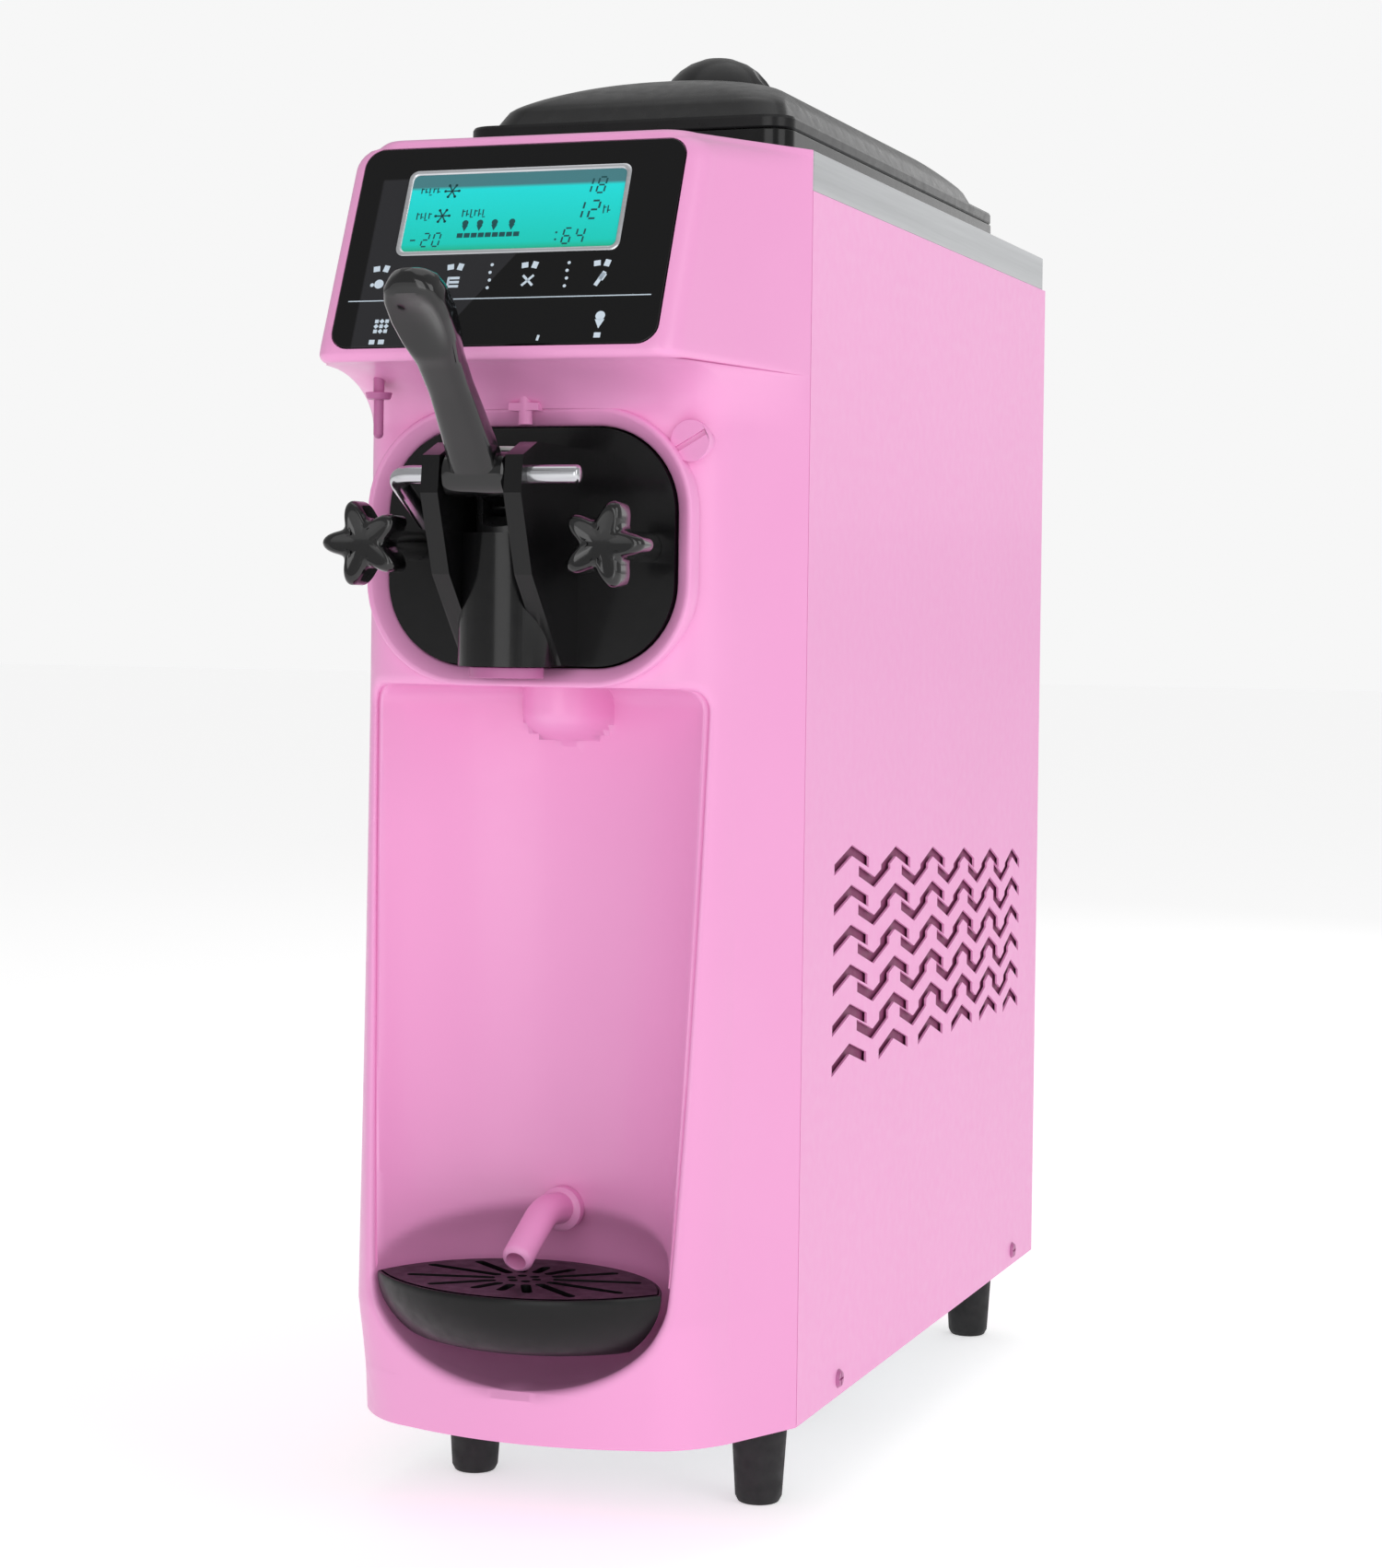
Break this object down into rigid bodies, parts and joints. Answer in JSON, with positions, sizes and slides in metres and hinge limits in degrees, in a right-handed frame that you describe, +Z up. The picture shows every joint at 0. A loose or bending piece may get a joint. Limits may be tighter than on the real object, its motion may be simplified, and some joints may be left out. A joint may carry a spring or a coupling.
{
  "type": "ice cream maker",
  "caption": "Countertop soft-serve ice cream maker with a covered hopper, freezing cylinder and beater, lever dispensing door, touch panel, drip tray and rubber feet.",
  "frame": {"origin": "on the floor, under the middle of the bounding box", "axes": "+X to the right as the operator sees it, -Y to the operator, +Z up"},
  "size_m": [0.2152, 0.646, 0.695],
  "materials": {
    "pink_panel": "satin powder coat",
    "pink_plastic": "satin moulded plastic",
    "dark_pink_plastic": "satin moulded plastic",
    "black_gloss": "gloss moulded plastic",
    "black_tray": "satin moulded plastic",
    "black_glass": "gloss back-printed glass",
    "display": "backlit liquid crystal",
    "circuit_board": "solder mask",
    "brushed_steel": "brushed",
    "bright_steel": "polished",
    "galvanised": "galvanised sheet",
    "copper_tube": "drawn copper tube",
    "foam": "rigid foam",
    "rubber": "matte",
    "gearbox_casting": "die cast",
    "gear_steel": "machined",
    "motor_paint": "satin paint",
    "compressor_paint": "gloss paint",
    "fan_plastic": "moulded plastic",
    "shroud_plastic": "moulded plastic",
    "plunger_plastic": "food-grade acetal",
    "electric_black": "moulded plastic"
  },
  "bodies": {
    "machine": {"base_pan": "galvanised", "rubber_feet": "rubber", "front_bulkhead": "galvanised", "drive_shelf": "galvanised", "side_panel_left": "pink_panel", "side_panel_right": "pink_panel", "rear_panel": "pink_panel", "panel_screws": "bright_steel", "top_deck": "brushed_steel", "front_cover": "pink_plastic", "cover_lock": "pink_plastic", "brush_hook": "dark_pink_plastic", "cover_clip": "pink_plastic", "control_glass": "black_glass", "display_module": "display", "control_board": "circuit_board", "hopper_tank": "brushed_steel", "hopper_frame": "black_gloss", "hopper_gasket": "rubber", "freezing_cylinder": "brushed_steel", "evaporator_coil": "copper_tube", "insulation_jacket": "foam", "shaft_seal": "rubber", "gearbox_housing": "gearbox_casting", "gearbox_bearings": "gear_steel", "drive_belt": "rubber", "drive_motor": "motor_paint", "compressor": "compressor_paint", "compressor_grommets": "rubber", "condenser": "galvanised", "fan_shroud": "shroud_plastic", "fan_motor": "motor_paint", "filter_drier": "copper_tube", "refrigerant_pipes": "copper_tube", "electrical_box": "galvanised", "mains_inlet": "electric_black", "door_studs": "bright_steel", "drain_spout": "pink_plastic"},
    "door": {"door_block": "black_gloss", "door_seal": "rubber"},
    "lever": {"dispense_lever": "black_gloss"},
    "plunger": {"valve_plunger": "plunger_plastic", "plunger_rings": "rubber"},
    "pin": {"pivot_pin": "bright_steel"},
    "nozzle": {"nozzle_cap": "black_gloss"},
    "knob_left": {"star_knob_left": "black_gloss"},
    "knob_right": {"star_knob_right": "black_gloss"},
    "lid": {"hopper_lid": "black_gloss"},
    "air_feed": {"air_tube": "brushed_steel"},
    "tray": {"drip_tray": "black_tray"},
    "grille": {"drip_grille": "black_tray"},
    "fan": {"fan_blade": "fan_plastic"},
    "beater_drive": {"beater": "brushed_steel", "beater_shaft": "brushed_steel", "output_gear": "gear_steel"},
    "input_drive": {"pinion_shaft": "gear_steel", "driven_pulley": "gearbox_casting"},
    "motor_drive": {"motor_pulley": "gearbox_casting"},
    "switch": {"power_switch": "electric_black"}
  },
  "joints": [
    {"name": "door_pull", "type": "slide", "parent": "machine", "child": "door", "axis": [0, -1, 0], "range_m": [0, 0.08]},
    {"name": "lever_swing", "type": "hinge", "parent": "door", "child": "lever", "pos_m": [0, -0.245, 0.47], "axis": [1, 0, 0], "range_deg": [0, 40]},
    {"name": "plunger_lift", "type": "slide", "parent": "door", "child": "plunger", "axis": [0, 0, 1], "range_m": [0, 0.02258]},
    {"name": "pin_turn", "type": "hinge", "parent": "door", "child": "pin", "pos_m": [0, -0.245, 0.47], "axis": [1, 0, 0], "range_deg": [0, 110]},
    {"name": "nozzle_turn", "type": "hinge", "parent": "door", "child": "nozzle", "pos_m": [0, -0.214, 0.388], "axis": [0, 0, 1], "range_deg": [0, 45]},
    {"name": "knob_left_turn", "type": "hinge", "parent": "door", "child": "knob_left", "pos_m": [-0.055, -0.222, 0.441], "axis": [0, -1, 0], "continuous": true},
    {"name": "knob_right_turn", "type": "hinge", "parent": "door", "child": "knob_right", "pos_m": [0.055, -0.222, 0.441], "axis": [0, -1, 0], "continuous": true},
    {"name": "lid_lift", "type": "slide", "parent": "machine", "child": "lid", "axis": [0, 0, 1], "range_m": [0, 0.15]},
    {"name": "air_tube_turn", "type": "hinge", "parent": "machine", "child": "air_feed", "pos_m": [0, -0.052, 0.513], "axis": [0, 0, 1], "range_deg": [0, 90]},
    {"name": "tray_pull", "type": "slide", "parent": "machine", "child": "tray", "axis": [0, -1, 0], "range_m": [0, 0.1]},
    {"name": "grille_lift", "type": "slide", "parent": "tray", "child": "grille", "axis": [0, 0, 1], "range_m": [0, 0.003]},
    {"name": "fan_spin", "type": "hinge", "parent": "machine", "child": "fan", "pos_m": [0, 0.266, 0.158], "axis": [0, 1, 0], "continuous": true},
    {"name": "beater_spin", "type": "hinge", "parent": "machine", "child": "beater_drive", "pos_m": [0, -0.062, 0.441], "axis": [0, 1, 0], "continuous": true},
    {"name": "pinion_spin", "type": "hinge", "parent": "machine", "child": "input_drive", "pos_m": [0, 0.078, 0.4035], "axis": [0, 1, 0], "continuous": true},
    {"name": "motor_spin", "type": "hinge", "parent": "machine", "child": "motor_drive", "pos_m": [0, 0.128, 0.305], "axis": [0, 1, 0], "continuous": true},
    {"name": "switch_rock", "type": "hinge", "parent": "machine", "child": "switch", "pos_m": [-0.002, 0.3166, 0.105], "axis": [1, 0, 0], "range_deg": [0, 14]}
  ],
  "couplings": [
    {"joint": "plunger_lift", "follows": "lever_swing", "m_per_rad": 0.032324},
    {"joint": "pinion_spin", "follows": "beater_spin", "ratio": -4},
    {"joint": "motor_spin", "follows": "beater_spin", "ratio": -10.5}
  ]
}
